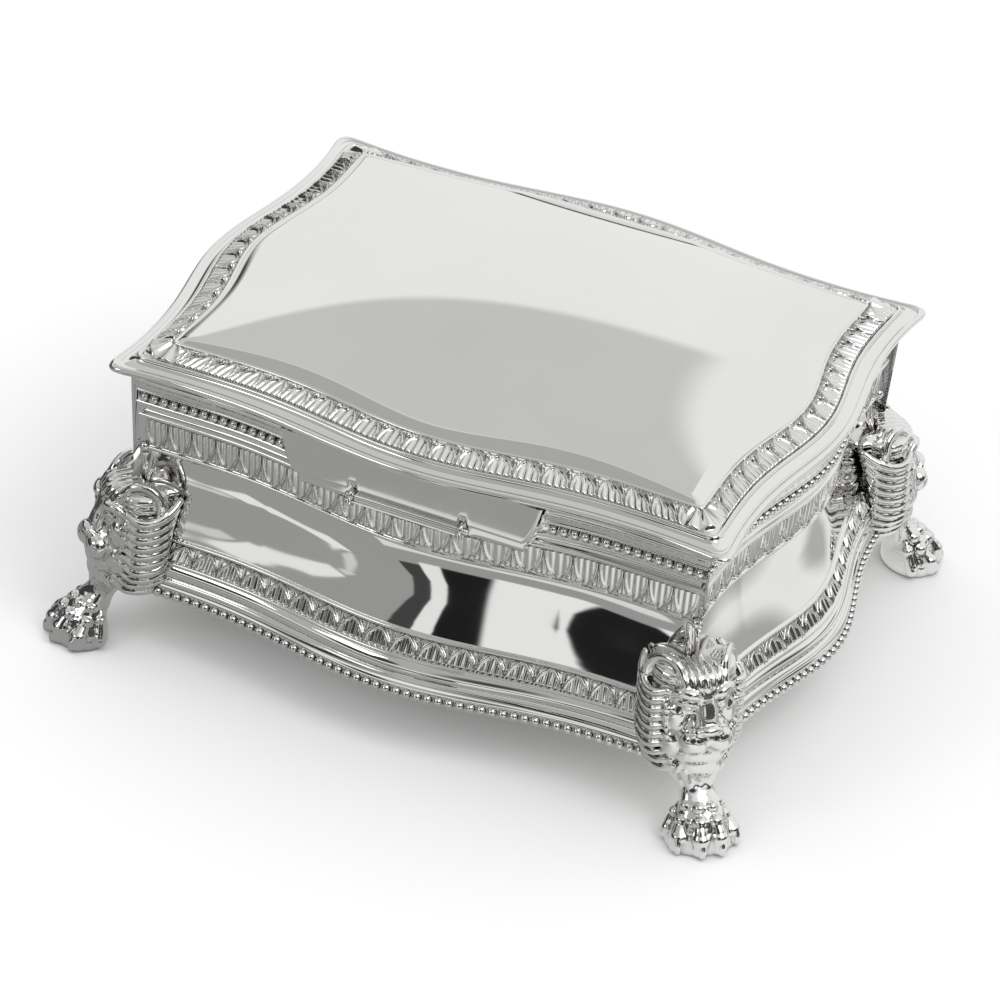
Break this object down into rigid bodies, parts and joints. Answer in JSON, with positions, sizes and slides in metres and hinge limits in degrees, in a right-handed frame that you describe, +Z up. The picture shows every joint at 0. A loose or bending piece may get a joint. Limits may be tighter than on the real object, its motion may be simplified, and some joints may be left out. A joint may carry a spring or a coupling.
{
  "type": "rosary box",
  "caption": "Serpentine silver keepsake box on lion-mask paw feet, with a low domed lid on a rear hinge and a velvet-lined compartment for a rosary.",
  "frame": {"origin": "middle of the box on the surface that its four paws stand on", "axes": "+X along the long side, +Y towards the hinge at the rear, +Z up; the lid is stored closed and opens towards +Y"},
  "size_m": [0.166, 0.1388, 0.082],
  "materials": {
    "silver": "polished silver, cast and chased ornament",
    "hinge_silver": "polished silver, drawn rod and plain plate",
    "screw_brass": "plain brass, slotted",
    "card": "stiff card, uncoated",
    "velvet": "burgundy velvet over thin padding"
  },
  "bodies": {
    "box": {"wall_rear": "silver", "wall_front": "silver", "wall_left": "silver", "wall_right": "silver", "base_plate": "silver", "foot_rear_left": "silver", "foot_rear_right": "silver", "foot_front_left": "silver", "foot_front_right": "silver", "foot_screws": "screw_brass", "hinge_leaf_body": "hinge_silver", "hinge_pin": "hinge_silver", "floor_board": "card", "lining_floor": "velvet", "lining_front": "velvet", "lining_rear": "velvet", "lining_left": "velvet", "lining_right": "velvet"},
    "lid": {"lid_shell": "silver", "lid_board": "card", "lid_lining": "velvet", "hinge_flange": "silver", "hinge_leaf_lid": "hinge_silver"}
  },
  "joints": [
    {"name": "lid_hinge", "type": "hinge", "parent": "box", "child": "lid", "pos_m": [0, 0.0582, 0.0563], "axis": [-1, 0, 0], "range_deg": [0, 100]}
  ]
}
